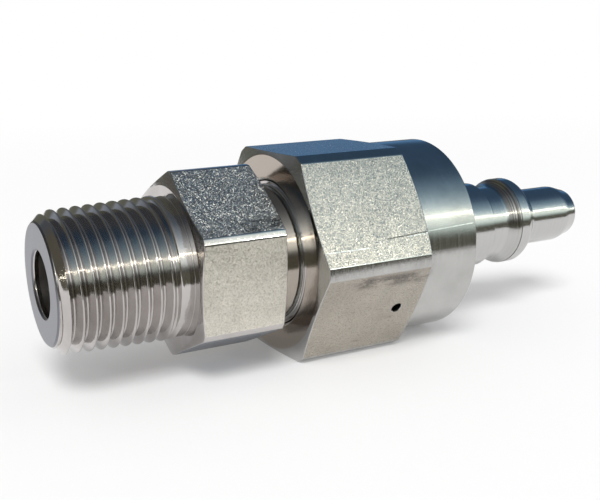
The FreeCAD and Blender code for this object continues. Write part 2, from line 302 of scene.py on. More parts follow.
def thread_roller():
    """Node tree that rolls a flat sheet into a tapered screw thread.

    The sheet's x is the distance along the thread with the helix taken out, its y the angle in
    turns, and the attribute on_thread marks its points.
    """
    tree = bpy.data.node_groups.new("roll the pipe thread", "GeometryNodeTree")
    tree.interface.new_socket("Geometry", in_out="INPUT", socket_type="NodeSocketGeometry")
    sizes = {"Pitch": pitch * MM, "Taper": taper, "Crest radius": crest_at_end * MM,
             "Depth": thread_depth * MM, "Crest half width": crest_half_width * MM,
             "Crest softness": crest_softness * MM, "First crest": first_crest * MM,
             "Thread end": thread_end * MM, "Run-out": run_out * MM,
             "Face radius": thread_face * MM, "Relief": relief_x * MM}
    for name in sizes:
        tree.interface.new_socket(name, in_out="INPUT", socket_type="NodeSocketFloat")
    tree.interface.new_socket("Material", in_out="INPUT", socket_type="NodeSocketMaterial")
    tree.interface.new_socket("Geometry", in_out="OUTPUT", socket_type="NodeSocketGeometry")
    given = add(tree, "NodeGroupInput").outputs
    sheet = add(tree, "GeometryNodeInputPosition")
    along, turns, _ = add(tree, "ShaderNodeSeparateXYZ", [sheet]).outputs

    # Station of each point, kept between the end face and the relief
    x = add(tree, "ShaderNodeMath", [turns, given["Pitch"], along], operation="MULTIPLY_ADD")
    x = add(tree, "ShaderNodeMath", [x, 0.0], operation="MAXIMUM")
    x = add(tree, "ShaderNodeMath", [x, given["Relief"]], operation="MINIMUM")

    # Distance from the nearest crest, and the depth of the sixty degree groove there
    phase = add(tree, "ShaderNodeMath", [along, given["First crest"]], operation="SUBTRACT")
    phase = add(tree, "ShaderNodeMath", [phase, given["Pitch"]], operation="DIVIDE")
    phase = add(tree, "ShaderNodeMath", [phase, 100.5], operation="ADD")
    phase = add(tree, "ShaderNodeMath", [phase], operation="FRACT")
    off = add(tree, "ShaderNodeMath", [phase, 0.5], operation="SUBTRACT")
    off = add(tree, "ShaderNodeMath", [off], operation="ABSOLUTE")
    off = add(tree, "ShaderNodeMath", [off, given["Pitch"]], operation="MULTIPLY")
    off = add(tree, "ShaderNodeMath", [off, given["Crest half width"]], operation="SUBTRACT")
    drop = add(tree, "ShaderNodeMath", [off, math.sqrt(3)], operation="MULTIPLY")
    rounding = add(tree, "ShaderNodeMath", [given["Crest softness"], 2.0], operation="POWER")
    rounded = add(tree, "ShaderNodeMath", [drop, drop, rounding], operation="MULTIPLY_ADD")
    rounded = add(tree, "ShaderNodeMath", [rounded], operation="SQRT")
    groove = add(tree, "ShaderNodeMath", [drop, rounded], operation="ADD")
    groove = add(tree, "ShaderNodeMath", [groove, 0.5], operation="MULTIPLY")
    groove = add(tree, "ShaderNodeMath", [groove, given["Depth"]], operation="MINIMUM")

    # The last turn fades out, and the end face's chamfer cuts the first.
    end = given["Thread end"]
    fade_start = add(tree, "ShaderNodeMath", [end, given["Run-out"]], operation="SUBTRACT")
    fade = add(tree, "ShaderNodeMapRange", [x, fade_start, end, 1.0, 0.0], **smoothly)
    groove = add(tree, "ShaderNodeMath", [groove, fade], operation="MULTIPLY")
    crest = add(tree, "ShaderNodeMath", [x, given["Taper"], given["Crest radius"]],
                operation="MULTIPLY_ADD")
    cut = add(tree, "ShaderNodeMath", [crest, groove], operation="SUBTRACT")
    chamfer = add(tree, "ShaderNodeMath", [given["Face radius"], x], operation="ADD")
    radius = add(tree, "ShaderNodeMath", [cut, chamfer], operation="MINIMUM")

    angle = add(tree, "ShaderNodeMath", [turns, 2 * math.pi], operation="MULTIPLY")
    across = add(tree, "ShaderNodeMath", [angle], operation="COSINE")
    across = add(tree, "ShaderNodeMath", [radius, across], operation="MULTIPLY")
    up = add(tree, "ShaderNodeMath", [angle], operation="SINE")
    up = add(tree, "ShaderNodeMath", [radius, up], operation="MULTIPLY")
    rolled = add(tree, "ShaderNodeCombineXYZ", [x, across, up])
    marked = add(tree, "GeometryNodeInputNamedAttribute", {"Name": "on_thread"}, data_type="FLOAT")
    chosen = add(tree, "ShaderNodeMath", [marked, 0.5], operation="GREATER_THAN")
    moved = add(tree, "GeometryNodeSetPosition",
                {"Geometry": given["Geometry"], "Selection": chosen, "Position": rolled})
    joined = add(tree, "GeometryNodeMergeByDistance", {"Geometry": moved, "Distance": 2e-7})
    real = add(tree, "GeometryNodeRealizeInstances", [joined])
    painted = add(tree, "GeometryNodeSetMaterial", {"Geometry": real, "Material": given["Material"]})
    add(tree, "NodeGroupOutput", [painted])
    return tree, sizes


# Materials

widest_scratch = 0.2         # half width above which a mark is a smudge
turned_sparkle = 0.015       # of the faces that no blasting has reached


def start_material(name):
    """A material with its principled shader, and object coordinates in millimetres."""
    material = bpy.data.materials.new(name)
    material.use_nodes = True
    tree = material.node_tree
    shader = tree.nodes["Principled BSDF"]
    here = add(tree, "ShaderNodeTexCoord").outputs["Object"]
    mm = add(tree, "ShaderNodeMapping", {"Vector": here, "Scale": (1000, 1000, 1000)})
    return material, tree, shader, mm


def bare_material(name):
    """A material with an empty node tree."""
    material = bpy.data.materials.new(name)
    material.use_nodes = True
    material.node_tree.nodes.clear()
    return material, material.node_tree


def off_axis(tree, mm):
    """Distance from the swivel axis."""
    spread = add(tree, "ShaderNodeMapping", {"Vector": mm, "Scale": (0, 1, 1)})
    return add(tree, "ShaderNodeVectorMath", [spread], operation="LENGTH").outputs["Value"]


def lathe_lines(tree, mm, per_mm):
    """Noise that runs in rings round the axis, on cylinders and on faces alike."""
    along = add(tree, "ShaderNodeSeparateXYZ", [mm])
    place = add(tree, "ShaderNodeMath", [off_axis(tree, mm), 1.31, along], operation="MULTIPLY_ADD")
    return add(tree, "ShaderNodeTexNoise",
               {"W": place, "Scale": per_mm, "Detail": 3.0, "Roughness": 0.6}, noise_dimensions="1D")


def patch(tree, mm, low, high, reach):
    """1 between two stations along the axis and inside a radius, else 0."""
    along = add(tree, "ShaderNodeSeparateXYZ", [mm])
    after = add(tree, "ShaderNodeMath", [along, low], operation="GREATER_THAN")
    before = add(tree, "ShaderNodeMath", [along, high], operation="LESS_THAN")
    both = add(tree, "ShaderNodeMath", [after, before], operation="MULTIPLY")
    near = add(tree, "ShaderNodeMath", [off_axis(tree, mm), reach], operation="LESS_THAN")
    return add(tree, "ShaderNodeMath", [both, near], operation="MULTIPLY")


def streak(tree, mm, low, high, height, slope, half_width):
    """1 on a thin line along the front between two stations, rising by slope, fading at its edges."""
    x, y, z = add(tree, "ShaderNodeSeparateXYZ", [mm]).outputs
    along = add(tree, "ShaderNodeMath", [x, low], operation="SUBTRACT")
    line = add(tree, "ShaderNodeMath", [along, slope], operation="MULTIPLY")
    line = add(tree, "ShaderNodeMath", [line, height], operation="ADD")
    off = add(tree, "ShaderNodeMath", [z, line], operation="SUBTRACT")
    off = add(tree, "ShaderNodeMath", [off], operation="ABSOLUTE")
    across = add(tree, "ShaderNodeMapRange", [off, 0.3 * half_width, 1.7 * half_width, 1.0, 0.0],
                 **smoothly)
    fade = min(3.0, 8 * half_width)
    start = add(tree, "ShaderNodeMapRange", [along, 0.0, fade, 0.0, 1.0], **smoothly)
    stop = add(tree, "ShaderNodeMapRange", [x, high - fade, high, 1.0, 0.0], **smoothly)
    ends = add(tree, "ShaderNodeMath", [start, stop], operation="MULTIPLY")
    line = add(tree, "ShaderNodeMath", [across, ends], operation="MULTIPLY")
    front = add(tree, "ShaderNodeMath", [y, 0.0], operation="LESS_THAN")
    return add(tree, "ShaderNodeMath", [line, front], operation="MULTIPLY")


def by_flat(tree, number, shades):
    """One colour for the turned faces and one for each of the six flats."""
    sixth = add(tree, "ShaderNodeMath", [number, 6], operation="DIVIDE")
    ramp = add(tree, "ShaderNodeValToRGB", [sixth])
    ramp.color_ramp.interpolation = "CONSTANT"
    ramp_stops(ramp, [(max(0.0, (index - 0.5) / 6), shade) for index, shade in enumerate(shades)])
    return ramp


def dirtied(tree, metal, flat, grain, smear):
    """Metal with dark smears of oil and faint speckles over its flats."""
    oil = add(tree, "ShaderNodeMapRange", [smear, 0.56, 0.74, 0.0, 0.5], **smoothly)
    oil = add(tree, "ShaderNodeMath", [oil, flat], operation="MULTIPLY")
    speckle = add(tree, "ShaderNodeMapRange", [grain, 0.35, 0.65, 0.3, 0.0], **smoothly)
    speckle = add(tree, "ShaderNodeMath", [speckle, flat], operation="MULTIPLY")
    dirt = add(tree, "ShaderNodeMath", [oil, speckle], operation="MAXIMUM")
    return add(tree, "ShaderNodeMix", {0: dirt, 6: metal, 7: colour("#5E5B55")},
               data_type="RGBA").outputs[2]


def scratched(tree, mm, metal, grain, smear, scratches):
    """Metal with its smudges and scratches.

    The smear and the grain break up a smudge, and the grain alone a thin scratch.
    """
    patchy = add(tree, "ShaderNodeMapRange", [smear, 0.4, 0.6, 0.0, 1.0], **smoothly)
    grainy = add(tree, "ShaderNodeMapRange", [grain, 0.3, 0.6, 0.5, 1.0], **smoothly)
    broken = add(tree, "ShaderNodeMath", [patchy, grainy], operation="MULTIPLY")
    nicked = add(tree, "ShaderNodeMapRange", [grain, 0.36, 0.52, 0.0, 0.9], **smoothly)
    for low, high, height, slope, half_width, tint in scratches:
        line = streak(tree, mm, low, high, height, slope, half_width)
        kept = broken if half_width > widest_scratch else nicked
        mark = add(tree, "ShaderNodeMath", [line, kept], operation="MULTIPLY")
        metal = add(tree, "ShaderNodeMix", {0: mark, 6: metal, 7: colour(tint)},
                    data_type="RGBA").outputs[2]
    return metal


def sparkling(tree, mm, flat, lines, sparkle):
    """Surface direction: rings on the turned faces, and a facet tilted at random for each grain.

    The rings stand 0.0006 mm proud, and less on faces across the axis. Blasted grain of about
    0.1 mm is drawn at 0.14 mm so that it shows.
    """
    normal = add(tree, "ShaderNodeNewGeometry").outputs["True Normal"]
    on_end = add(tree, "ShaderNodeSeparateXYZ", [normal])
    on_end = add(tree, "ShaderNodeMath", [on_end], operation="ABSOLUTE")
    depth = add(tree, "ShaderNodeMapRange", [on_end, 0.5, 0.9, 1.0, 0.3], **smoothly)
    turned = add(tree, "ShaderNodeMath", [1.0, flat], operation="SUBTRACT")
    depth = add(tree, "ShaderNodeMath", [turned, depth], operation="MULTIPLY")
    rings = add(tree, "ShaderNodeBump", {"Strength": depth, "Distance": 0.0006 * MM, "Height": lines})
    cells = add(tree, "ShaderNodeTexVoronoi", {"Vector": mm, "Scale": 7.0, "Randomness": 1.0})
    tilt = cells.outputs["Color"]
    tilt = add(tree, "ShaderNodeVectorMath", [tilt, (0.5, 0.5, 0.5)], operation="SUBTRACT")
    tilt = add(tree, "ShaderNodeVectorMath", {0: tilt, "Scale": sparkle}, operation="SCALE")
    facets = add(tree, "ShaderNodeVectorMath", [rings, tilt], operation="ADD")
    return add(tree, "ShaderNodeVectorMath", [facets], operation="NORMALIZE")


def hexagon_steel(name, turned, worn, flats, turned_rough, flat_rough, smear_at, patches, scratches):
    """Stainless steel turned from bar, its flats milled and blasted to a sparkling grain.

    turned gives the bright and the dull colour of the turned faces, and worn that of the pits.
    flats gives each of the six flats its tone and how strongly its grain sparkles, which turned
    faces hardly do; the flats' colours are painted light and shade, the same steel made lighter,
    darker, warmer and bluer from flat to flat for what each reflects. patches gives stretches a
    finish of their own, with a colour that is mostly painted light and shade: two stations, the
    largest radius, colour and roughness. scratches gives marks along the front: two stations,
    height, slope, half width and colour.
    """
    material, tree, shader, mm = start_material(name)
    number = add(tree, "ShaderNodeAttribute", attribute_name="flat_number").outputs["Fac"]
    flat = add(tree, "ShaderNodeMath", [number, 0.5], operation="GREATER_THAN")
    # Each flat's colour is painted light and shade: the same steel made lighter, darker, warmer and
    # bluer from flat to flat for what each reflects.
    tones = by_flat(tree, number, [colour(turned[0])] + [colour(tone) for tone, _ in flats])
    sparkles = [turned_sparkle] + [amount for _, amount in flats]
    sparkle = by_flat(tree, number, [(amount, amount, amount, 1) for amount in sparkles])
    lines = lathe_lines(tree, mm, 3.0)
    grain = add(tree, "ShaderNodeTexNoise",
                {"Vector": mm, "Scale": 4.2, "Detail": 3.0, "Roughness": 0.75})
    smear = add(tree, "ShaderNodeMapping",
                {"Vector": mm, "Scale": (0.22, 0.5, 0.5), "Location": smear_at})
    smear = add(tree, "ShaderNodeTexNoise",
                {"Vector": smear, "Scale": 1.0, "Detail": 5.0, "Roughness": 0.7})

    # Clouds over the metal, about 6 mm across, and darker pits between the grains
    cloud = add(tree, "ShaderNodeTexNoise",
                {"Vector": mm, "Scale": 0.16, "Detail": 4.0, "Roughness": 0.6})
    dulled = add(tree, "ShaderNodeMapRange", [cloud, 0.3, 0.7, 0.25, 0.0], **smoothly)
    metal = add(tree, "ShaderNodeMix", {0: dulled, 6: tones, 7: colour(turned[1])},
                data_type="RGBA", blend_type="MULTIPLY").outputs[2]
    pits = add(tree, "ShaderNodeMapRange", [grain, 0.32, 0.44, 0.75, 0.0], **smoothly)
    pits = add(tree, "ShaderNodeMath", [pits, sparkle], operation="MULTIPLY")
    metal = add(tree, "ShaderNodeMix", {0: pits, 6: metal, 7: colour(worn)},
                data_type="RGBA").outputs[2]
    metal = dirtied(tree, metal, flat, grain, smear)
    metal = scratched(tree, mm, metal, grain, smear, scratches)

    # The rings roughen the turned faces, and the grain roughens the flats.
    ringed = add(tree, "ShaderNodeMapRange",
                 [lines, 0.3, 0.7, turned_rough - 0.03, turned_rough + 0.05], **smoothly)
    blasted = add(tree, "ShaderNodeMapRange",
                  [grain, 0.3, 0.7, flat_rough - 0.1, flat_rough + 0.1], **smoothly)
    finish = add(tree, "ShaderNodeMix", {0: flat, 2: ringed, 3: blasted}, data_type="FLOAT")
    # Patch colours are mostly painted light and shade: a darker end face and a brighter neck on the
    # adapter, and a warmer, darker mirror face round the body's mouth. Each patch also has a roughness
    # of its own.
    for low, high, reach, tint, roughness in patches:
        inside = patch(tree, mm, low, high, reach)
        metal = add(tree, "ShaderNodeMix", {0: inside, 6: metal, 7: colour(tint)},
                    data_type="RGBA").outputs[2]
        finish = add(tree, "ShaderNodeMix", {0: inside, 2: finish, 3: roughness}, data_type="FLOAT")
    tree.links.new(metal, shader.inputs["Base Color"])
    tree.links.new(finish.outputs[0], shader.inputs["Roughness"])
    tree.links.new(sparkling(tree, mm, flat, lines, sparkle).outputs[0], shader.inputs["Normal"])
    shader.inputs["Metallic"].default_value = 1.0
    return material


def form_tool_mark(tree, mm, metal, start, end):
    """Painted reflection: metal painted dark brown between two stations, most strongly above the axis,
    with painted lines of fine steps beside the second one.
    """
    x, _, z = add(tree, "ShaderNodeSeparateXYZ", [mm]).outputs
    # Painted lines for the tool's steps every 0.36 mm, part of the painted reflection
    wave = add(tree, "ShaderNodeMath", [x, 2 * math.pi / 0.36], operation="MULTIPLY")
    wave = add(tree, "ShaderNodeMath", [wave], operation="SINE")
    lined = add(tree, "ShaderNodeMapRange", [x, end - 1.3, end - 0.9, 0.0, 0.25], **smoothly)
    depth = add(tree, "ShaderNodeMath", [wave, lined, 0.5], operation="MULTIPLY_ADD")
    after = add(tree, "ShaderNodeMapRange", [x, start, start + 0.5, 0.0, 1.0], **smoothly)
    before = add(tree, "ShaderNodeMath", [x, end], operation="LESS_THAN")
    inside = add(tree, "ShaderNodeMath", [after, before], operation="MULTIPLY")
    # The painted reflection is strongest above the axis and faint below it.
    above = add(tree, "ShaderNodeMapRange", [z, -1.5, 1.5, 0.12, 1.0], **smoothly)
    inside = add(tree, "ShaderNodeMath", [inside, above], operation="MULTIPLY")
    share = add(tree, "ShaderNodeMath", [inside, depth], operation="MULTIPLY")
    return add(tree, "ShaderNodeMix", {0: share, 6: metal, 7: colour("#4E4A42")},
               data_type="RGBA").outputs[2]


def turned_steel(name, light, dark, roughness, lines_per_mm, line_height, grain_height, tool_mark=None):
    """Steel left as the lathe tool cut it: fine rings that spread a highlight along the axis.

    Heights are in millimetres, and the last argument gives the two stations of a painted reflection: the
    hollow flank painted dark brown, darker above the axis.
    """
    material, tree, shader, mm = start_material(name)
    lines = lathe_lines(tree, mm, lines_per_mm)
    grain = add(tree, "ShaderNodeTexNoise", {"Vector": mm, "Scale": 3.5, "Detail": 2.0})
    tone = add(tree, "ShaderNodeValToRGB", [lines])
    ramp_stops(tone, [(0.3, colour(dark)), (0.7, colour(light))])
    metal = tone.outputs["Color"]
    # Painted reflection: the hollow flank painted dark brown, darker above the axis.
    if tool_mark:
        metal = form_tool_mark(tree, mm, metal, *tool_mark)
    tree.links.new(metal, shader.inputs["Base Color"])
    finish = add(tree, "ShaderNodeMapRange", [grain, 0.3, 0.7, roughness - 0.04, roughness + 0.04],
                 **smoothly)
    tree.links.new(finish.outputs[0], shader.inputs["Roughness"])
    rings = add(tree, "ShaderNodeBump", {"Distance": line_height * MM, "Height": lines})
    fine = add(tree, "ShaderNodeBump", {"Distance": grain_height * MM, "Height": grain, "Normal": rings})
    tree.links.new(fine.outputs[0], shader.inputs["Normal"])
    shader.inputs["Metallic"].default_value = 1.0
    return material


def moulded(name, light, dark, roughness, grain_mm, height):
    """Rubber or polymer as it leaves the mould, with a faint grain."""
    material, tree, shader, mm = start_material(name)
    grain = add(tree, "ShaderNodeTexNoise", {"Vector": mm, "Scale": 1 / grain_mm, "Detail": 3.0})
    tone = add(tree, "ShaderNodeValToRGB", [grain])
    ramp_stops(tone, [(0.3, colour(dark)), (0.7, colour(light))])
    tree.links.new(tone.outputs["Color"], shader.inputs["Base Color"])
    bump = add(tree, "ShaderNodeBump", {"Distance": height * MM, "Height": grain})
    tree.links.new(bump.outputs[0], shader.inputs["Normal"])
    shader.inputs["Roughness"].default_value = roughness
    return material


# Its thread and neck keep the lathe's shine, the neck also painted brighter, a painted highlight;
# the bore is duller and painted darker and browner; and the small hexagon's flats sparkle from
# blasting, the one above the front most of all. The flats' colours are painted light and shade,
# the lower front flat darker and bluer for a dark reflection, and the end face is painted darker,
# a painted reflection.
steel_of_adapter = hexagon_steel(
    "blasted stainless steel with turned thread", turned=("#C8C4C2", "#B4B0AC"), worn="#77766F",
    flats=[("#D6D2C8", 0.4), ("#D6D2C8", 0.4), ("#EEECE9", 1.0),
           ("#EEE9DE", 0.32), ("#9DA1AA", 0.2), ("#D0CCC4", 0.4)],
    turned_rough=0.10, flat_rough=0.42, smear_at=(0, 0, 0),
    patches=[(-0.2, 0.25, 12, "#7F8087", 0.3), (1, 36, bore + 0.5, "#A39E98", 0.35),
             (32.7, 36.3, 11.2, "#E8E8E6", 0.1)],
    scratches=[(18.6, 24.6, 7.0, 0.0, 0.5, "#484D52"), (24.0, 34.0, 7.1, 0.02, 0.6, "#484D52")])

# The barrel is satin, its fine rings spreading a broad highlight, and the flats are blasted
# finer than the small hexagon's. The flats' colours are painted light and shade, the top flat
# bluer for the blue above it and the lower front one darker, and the face round the mouth is
# painted warmer and darker, a painted tint on what it mirrors. One long dark line runs over a
# flat to the barrel, and a white line beside it runs on over the barrel.
steel_of_body = hexagon_steel(
    "blasted stainless steel with satin barrel", turned=("#C0BFBD", "#B0AFAD"), worn="#6F7068",
    flats=[("#D0CCC4", 0.3), ("#D2DEE8", 0.06), ("#DDD4C8", 0.15),
           ("#BCB5AB", 0.1), ("#C6C2BA", 0.3), ("#C6C2BA", 0.3)],
    turned_rough=0.16, flat_rough=0.30, smear_at=(3, 0, 0),
    patches=[(body_x - 0.2, body_x + 0.15, 15.4, "#B4AAA0", 0.14)],
    scratches=[(47.2, 55.3, 3.77, 0.033, 0.08, "#2E2D28"), (51.0, 64.5, 3.72, 0.033, 0.06, "#FFFFFA"),
               (36.6, 44.2, 2.98, -0.006, 0.06, "#FFFFFA"), (40.0, 57.0, -2.1, -0.02, 0.9, "#6A655F")])

# The plug is the brightest piece, almost polished. Its hollow flank is painted dark brown, darker
# above the axis and with painted lines of tool steps: a painted reflection of dark surroundings.
steel_of_plug = turned_steel(
    "fine turned stainless steel", "#C2C1C0", "#BDBCBA", 0.15, 2.6, 0.0002, 0.0012,
    tool_mark=(79.6, 81.75))

# Inside the body: softly shining machined steel, darker drawn wire, mirror-like races and balls,
# a warm brass cage, a dark hard seat, and matt seals.
slot_materials = {
    "machined_steel": turned_steel("machined steel", "#B9B9BB", "#A6A6A9", 0.3, 2.0, 0.006, 0.002),
    "spring_steel": turned_steel("drawn spring steel", "#A5A5A9", "#8E8E93", 0.35, 1.5, 0.003, 0.004),
    "bearing_steel": turned_steel("ground bearing steel", "#D2D2D4", "#C4C4C8", 0.12, 4.0, 0.001, 0.001),
    "pressed_steel": turned_steel("thin pressed steel", "#BDBDC0", "#AEAEB2", 0.28, 1.0, 0.002, 0.004),
    "cage_brass": turned_steel("machined brass", "#D8B668", "#BC964A", 0.28, 2.0, 0.005, 0.002),
    "sintered_carbide": turned_steel("lapped sintered carbide", "#85858A", "#6E6E73", 0.22, 0.6,
                                     0.001, 0.001),
    "seal_polymer": moulded("white seal polymer", "#E8E5DB", "#DAD6CA", 0.45, 0.8, 0.01),
    "nitrile_rubber": moulded("black nitrile rubber", "#26262A", "#18181B", 0.6, 0.5, 0.02),
}


# Pieces

def chamfer_x(start, radius, face, degrees, way):
    """Station where a chamfer that leaves a face's edge reaches each radius."""
    return start + way * (radius - face) * math.tan(math.radians(degrees))


def thread_rows():
    """Distances along the thread, with the helix taken out, at which its sheet has a row."""
    # From a crest over the flank to the middle of the root, then the same backwards
    form = [0, 0.06, crest_half_width, 0.12, *np.linspace(0.2, 0.75, 6), 0.79, 0.826, 0.86, 0.907]
    form = np.array(form)
    form = np.concatenate([form, pitch - form[-2:0:-1]])
    rows = []
    first = int(math.floor(-first_crest / pitch)) - 1
    last = int(math.ceil((relief_x - first_crest) / pitch)) + 1
    for turn in range(first, last):
        rows.extend(first_crest + turn * pitch + form)
    rows = np.array([row for row in rows if row >= -pitch - 0.2])
    # Rows a whole pitch apart repeat, so that the seam closes.
    return rows[rows <= relief_x + 0.001 + pitch]


def make_adapter():
    """Inlet adapter as one closed skin, its thread rolled up by the node tree."""
    angles, radii = hexagon_columns(small_flats, small_corner, small_flat_angle)
    count = len(angles)
    corners = [
        (relief_x, crest_at_end + taper * relief_x, 0),
        (relief_x + 0.02, relief + 0.12, 0),
        (relief_x + 0.1, relief, 0),
        (small_hex_x, relief, 0.08),
        (small_hex_x, small_face, 0.05),
        (chamfer_x(small_hex_x, radii, small_face, hex_chamfer, 1), radii, hex_soft),
        (chamfer_x(small_hex_end, radii, small_face, hex_chamfer, -1), radii, hex_soft),
        (small_hex_end, small_face, 0.05),
        (small_hex_end, neck, 0.15),
        (guide_x, neck, 0.05), (guide_x, guide, 0.08),
        (groove_x, guide, 0.1), (groove_x, groove_floor, 0.1),
        (groove_end, groove_floor, 0.1), (groove_end, guide, 0.1),
        (spigot_x, guide, 0.1), (spigot_x, spigot, 0.1), (spigot_end, spigot, 0.1),
        (spigot_end, pocket, 0.1), (pocket_x, pocket, 0.1), (pocket_x, bore, 0.1),
        (bore_chamfer, bore, 0.1), (0, bore + bore_chamfer, 0.06),
        (0, (bore + thread_face) / 2, 0), (0, thread_face, 0),
    ]
    rings = rings_of(corners, count)
    points = turned_points(rings, angles)
    faces = stitch(len(rings), count, True)
    # The thread's sheet has one column more, which meets the first a pitch further on.
    rows = thread_rows()
    turns = (angles - angles[0]) / 360
    turns = np.append(turns, 1.0) + angles[0] / 360
    sheet = np.array([(row * MM, turn, 0) for row in rows for turn in turns])
    faces += stitch(len(rows), count + 1, False, len(points))
    piece = piece_from("inlet_adapter_skin", np.concatenate([points, sheet]), faces)
    mark = piece.data.attributes.new("on_thread", "FLOAT", "POINT")
    mark.data.foreach_set("value", [0.0] * len(points) + [1.0] * len(sheet))
    tree, given = thread_roller()
    given["Material"] = steel_of_adapter
    roller = piece.modifiers.new("roll", "NODES")
    roller.node_group = tree
    for item in tree.interface.items_tree:
        if item.in_out == "INPUT" and item.name in given:
            roller[item.identifier] = given[item.name]
    settle(piece)
    number_flats(piece, small_flat_angle, small_hex_x, small_hex_end)
    return piece


def make_body():
    """Swivel body: large hexagon, barrel, stepped bore and weep hole."""
    angles, radii = hexagon_columns(large_flats, large_corner, large_flat_angle)
    corners = [
        (body_x, mouth + mouth_chamfer, 0.08), (body_x, large_face, 0.05),
        (chamfer_x(body_x, radii, large_face, hex_chamfer, 1), radii, hex_soft),
        (chamfer_x(large_hex_end, radii, barrel, barrel_chamfer, -1), radii, hex_soft),
        (large_hex_end, barrel, 0.03), (body_end, barrel, 0.25),
        (body_end, wall_hole, 0.1), (wiper_x + wiper_width, wall_hole, 0),
        (wiper_x + wiper_width, wiper_floor, 0), (wiper_x, wiper_floor, 0),
        (wiper_x, wall_hole, 0), (wall_x, wall_hole, 0), (wall_x, bearing_seat, 0.1),
        (thread_floor_x, bearing_seat, 0.1), (thread_floor_x, spigot, 0.1),
        (spigot_x, spigot, 0.1), (spigot_x, mouth, 0.1), (body_x + mouth_chamfer, mouth, 0.08),
    ]
    piece = closed_skin("swivel_body_skin", corners, angles)
    drill = weep_drill()
    cut = piece.modifiers.new("weep", "BOOLEAN")
    cut.object = drill
    cut.solver = "EXACT"
    settle(piece)
    bpy.data.objects.remove(drill)
    number_flats(piece, large_flat_angle, body_x, large_hex_end)
    return piece


def weep_drill():
    """Round cutter through one flat into the bore, flared at its mouth."""
    way = math.radians(weep_angle)
    outer = large_flats / 2
    profile = [(bearing_seat - 1, weep_radius), (outer - 0.08, weep_radius),
               (outer, weep_radius + 0.08), (outer + 1, weep_radius + 0.4)]
    sides = 40
    points = []
    for reach, radius in profile:
        for side in range(sides):
            turn = 2 * math.pi * side / sides
            x = weep_x + radius * math.cos(turn)
            t = radius * math.sin(turn)
            points.append((x, reach * math.cos(way) - t * math.sin(way),
                           reach * math.sin(way) + t * math.cos(way)))
    faces = [(a, d, c, b) for a, b, c, d in stitch(len(profile), sides, True)]
    faces.append(tuple(range(sides)))
    faces.append(tuple(range(len(profile) * sides - 1, (len(profile) - 1) * sides - 1, -1)))
    return piece_from("weep_drill", np.array(points) * MM, faces)


def bend(x, radius, length, degrees, reach, rise, steps=6):
    """Points of an arc that starts level with the axis, as on the source's plug outline."""
    angle = math.radians(degrees)
    size = length / math.sin(angle)
    out = []
    for turn in np.linspace(0, angle, steps):
        out.append((x + reach * size * math.sin(turn), radius + rise * size * (1 - math.cos(turn)), 0))
    return out


def make_plug():
    """Plug shaft: shoulder, locking neck, collar and nose, with its bore."""
    flank = bend(lock_neck_end, lock_neck, flank_length, flank_angle, 1, 1)
    round_off = bend(collar_end, collar, collar_round, front_angle, 1, -1)
    cone = round_off[-1]
    rise = cone[1] - nose - nose_fillet * math.tan(math.radians(front_angle / 2))
    nose_x = cone[0] + rise / math.tan(math.radians(front_angle)) + nose_fillet
    fillet = bend(nose_x, nose, nose_fillet, front_angle, -1, 1)[::-1]
    round_x = nose_end - nose_round
    lead_x = round_x - lead_in_length
    tip = nose - lead_in_length * math.tan(math.radians(lead_in_angle))
    dome = []
    for turn in np.linspace(0, math.pi / 2, 7):
        dome.append((round_x + nose_round * math.sin(turn),
                     tip - nose_round + nose_round * math.cos(turn), 0))
    line_x = collar_x - line_width
    corners = [
        (stub_x, seat_tail, 0), (stub_x, stub, 0.1), (first_bearing_x, stub, 0.05),
        (first_bearing_x, journal, 0.05), (wall_x, journal, 0.1), (wall_x, shoulder, 0.1),
        (shoulder_end, shoulder, 0.3), (shoulder_end, lock_neck, 0.12),
        *flank,
        (line_x - line_width, collar - ring_drop, 0.04), (line_x, collar - ring_drop, 0.03),
        (line_x, collar - line_depth, 0), (collar_x, collar - line_depth, 0), (collar_x, collar, 0.03),
        *round_off, *fillet,
        (lead_x, nose, 0.6), *dome,
        (nose_end, flow_bore + mouth_countersink, 0.05), (nose_end - mouth_countersink, flow_bore, 0.05),
        (seat_tail_end, flow_bore, 0), (seat_tail_end, seat_tail, 0),
        (seat_groove_end, seat_tail, 0), (seat_groove_end, seat_groove_floor, 0),
        (seat_groove_x, seat_groove_floor, 0), (seat_groove_x, seat_tail, 0),
    ]
    return closed_skin("plug_shaft_skin", corners, np.arange(0, 360, 2.5))


adapter = make_adapter()
body = make_body()
plug = make_plug()

for piece, material, slot, node, carrier in (
        (adapter, steel_of_adapter, "pickled_stainless", "inlet_adapter", "housing"),
        (body, steel_of_body, "satin_stainless", "swivel_body", "housing"),
        (plug, steel_of_plug, "turned_stainless", "plug_shaft", "plug")):
    piece.data.materials.clear()
    piece.data.materials.append(material)
    smooth(piece)
    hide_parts(node)
    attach(piece, carrier)

for entry in frame["record"]["subparts"]:
    if entry["material_slot"] in slot_materials:
        node = frame["nodes"][entry["node"]]
        node.data.materials.clear()
        node.data.materials.append(slot_materials[entry["material_slot"]])


# Studio: floor, tent of soft light, dark skirt, lamps and camera, in metres

floor_level = -large_flats / 2 * MM
middle = (0.05, 0, 0)


def seen_through_metal(tree, share):
    """A share for rays that look at the surface or see it in metal or glass, else 0."""
    path = add(tree, "ShaderNodeLightPath").outputs
    seen = path["Is Camera Ray"]
    for ray in ("Is Glossy Ray", "Is Transmission Ray"):
        seen = add(tree, "ShaderNodeMath", [seen, path[ray]], operation="MAXIMUM")
    return add(tree, "ShaderNodeMath", [seen, share], operation="MULTIPLY")


def show_in_metal_only(sheet):
    """Leave a studio sheet out of all but reflections."""
    sheet.visible_camera = False
    sheet.visible_diffuse = False
    sheet.visible_shadow = False


